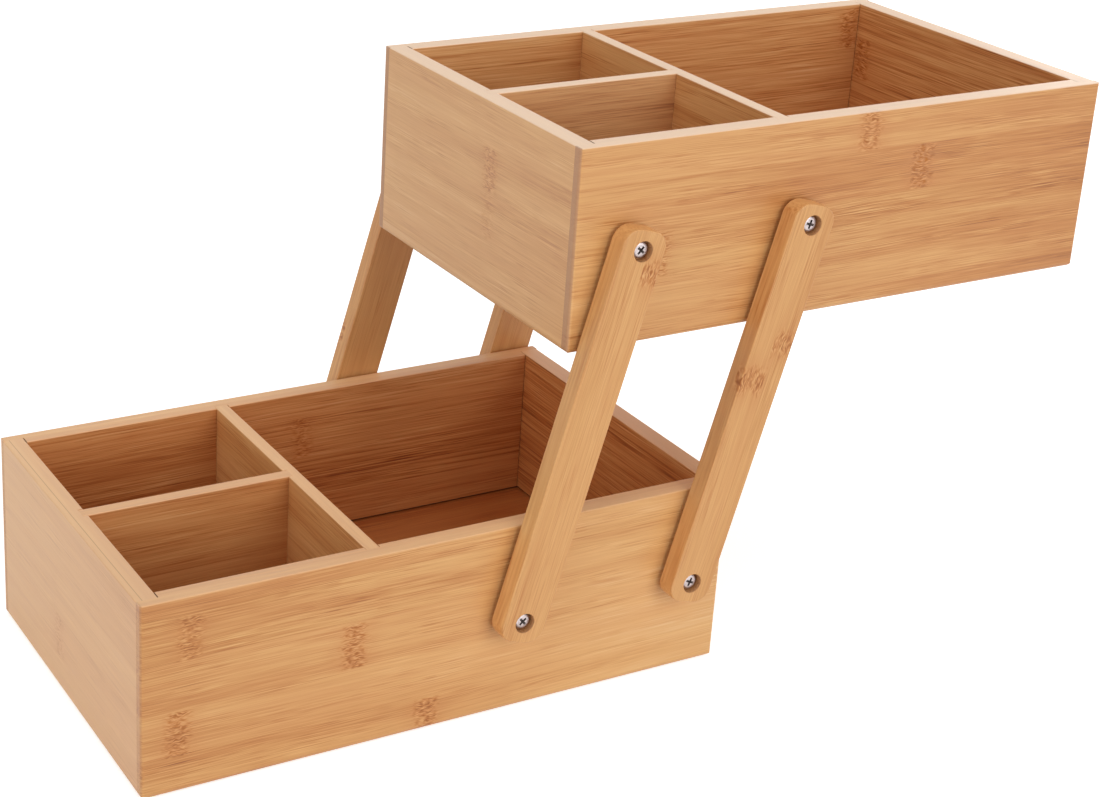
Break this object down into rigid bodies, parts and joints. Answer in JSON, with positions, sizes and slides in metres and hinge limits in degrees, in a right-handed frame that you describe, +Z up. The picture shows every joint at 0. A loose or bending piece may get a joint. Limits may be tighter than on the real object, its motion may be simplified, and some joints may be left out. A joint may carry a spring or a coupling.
{
  "type": "makeup organizer",
  "caption": "Tiered bamboo vanity organizer: an open upper box swings out from an equal lower box on parallel arms with pivot screws; dividers part each box.",
  "frame": {"origin": "on the surface it stands on, at the middle of the opened organizer's bounding box", "axes": "+Z up; +X from the lower tier towards the side the upper tier swings to; +Y from the front to the back, square to the arms' swing"},
  "size_m": [0.4774, 0.1948, 0.2585],
  "materials": {
    "bamboo_board": "satin clear-lacquered laminated bamboo, grain along the board",
    "bamboo_floor": "satin clear-lacquered laminated bamboo",
    "bamboo_divider": "satin clear-lacquered laminated bamboo",
    "bamboo_arm": "satin clear-lacquered bamboo, grain along the arm",
    "screw_steel": "nickel-plated steel",
    "washer_nylon": "natural nylon"
  },
  "bodies": {
    "lower_tier": {"lower_front_panel": "bamboo_board", "lower_back_panel": "bamboo_board", "lower_left_end_panel": "bamboo_board", "lower_right_end_panel": "bamboo_board", "lower_floor_panel": "bamboo_floor", "lower_cross_divider": "bamboo_divider", "lower_short_divider": "bamboo_divider", "lower_pivot_screws": "screw_steel", "lower_spacer_washers": "washer_nylon"},
    "upper_tier": {"upper_front_panel": "bamboo_board", "upper_back_panel": "bamboo_board", "upper_left_end_panel": "bamboo_board", "upper_right_end_panel": "bamboo_board", "upper_floor_panel": "bamboo_floor", "upper_cross_divider": "bamboo_divider", "upper_short_divider": "bamboo_divider", "upper_pivot_screws": "screw_steel", "upper_spacer_washers": "washer_nylon"},
    "front_left_arm": {"front_left_arm": "bamboo_arm"},
    "front_right_arm": {"front_right_arm": "bamboo_arm"},
    "back_left_arm": {"back_left_arm": "bamboo_arm"},
    "back_right_arm": {"back_right_arm": "bamboo_arm"}
  },
  "joints": [
    {"name": "front_left_arm_swing", "type": "hinge", "parent": "lower_tier", "child": "front_left_arm", "pos_m": [-0.06515, -0.0927, 0.049], "axis": [0, 1, 0], "range_deg": [-74.22, 0]},
    {"name": "front_right_arm_swing", "type": "hinge", "parent": "lower_tier", "child": "front_right_arm", "pos_m": [0.02285, -0.0927, 0.049], "axis": [0, 1, 0], "range_deg": [-74.22, 0]},
    {"name": "back_left_arm_swing", "type": "hinge", "parent": "lower_tier", "child": "back_left_arm", "pos_m": [-0.06515, 0.0927, 0.049], "axis": [0, 1, 0], "range_deg": [-74.22, 0]},
    {"name": "back_right_arm_swing", "type": "hinge", "parent": "lower_tier", "child": "back_right_arm", "pos_m": [0.02285, 0.0927, 0.049], "axis": [0, 1, 0], "range_deg": [-74.22, 0]},
    {"name": "upper_tier_pivot", "type": "hinge", "parent": "front_left_arm", "child": "upper_tier", "pos_m": [-0.01935, -0.0927, 0.21418], "axis": [0, 1, 0], "range_deg": [0, 74.22]}
  ],
  "couplings": [
    {"joint": "front_right_arm_swing", "follows": "front_left_arm_swing", "ratio": 1},
    {"joint": "back_left_arm_swing", "follows": "front_left_arm_swing", "ratio": 1},
    {"joint": "back_right_arm_swing", "follows": "front_left_arm_swing", "ratio": 1},
    {"joint": "upper_tier_pivot", "follows": "front_left_arm_swing", "ratio": -1}
  ]
}
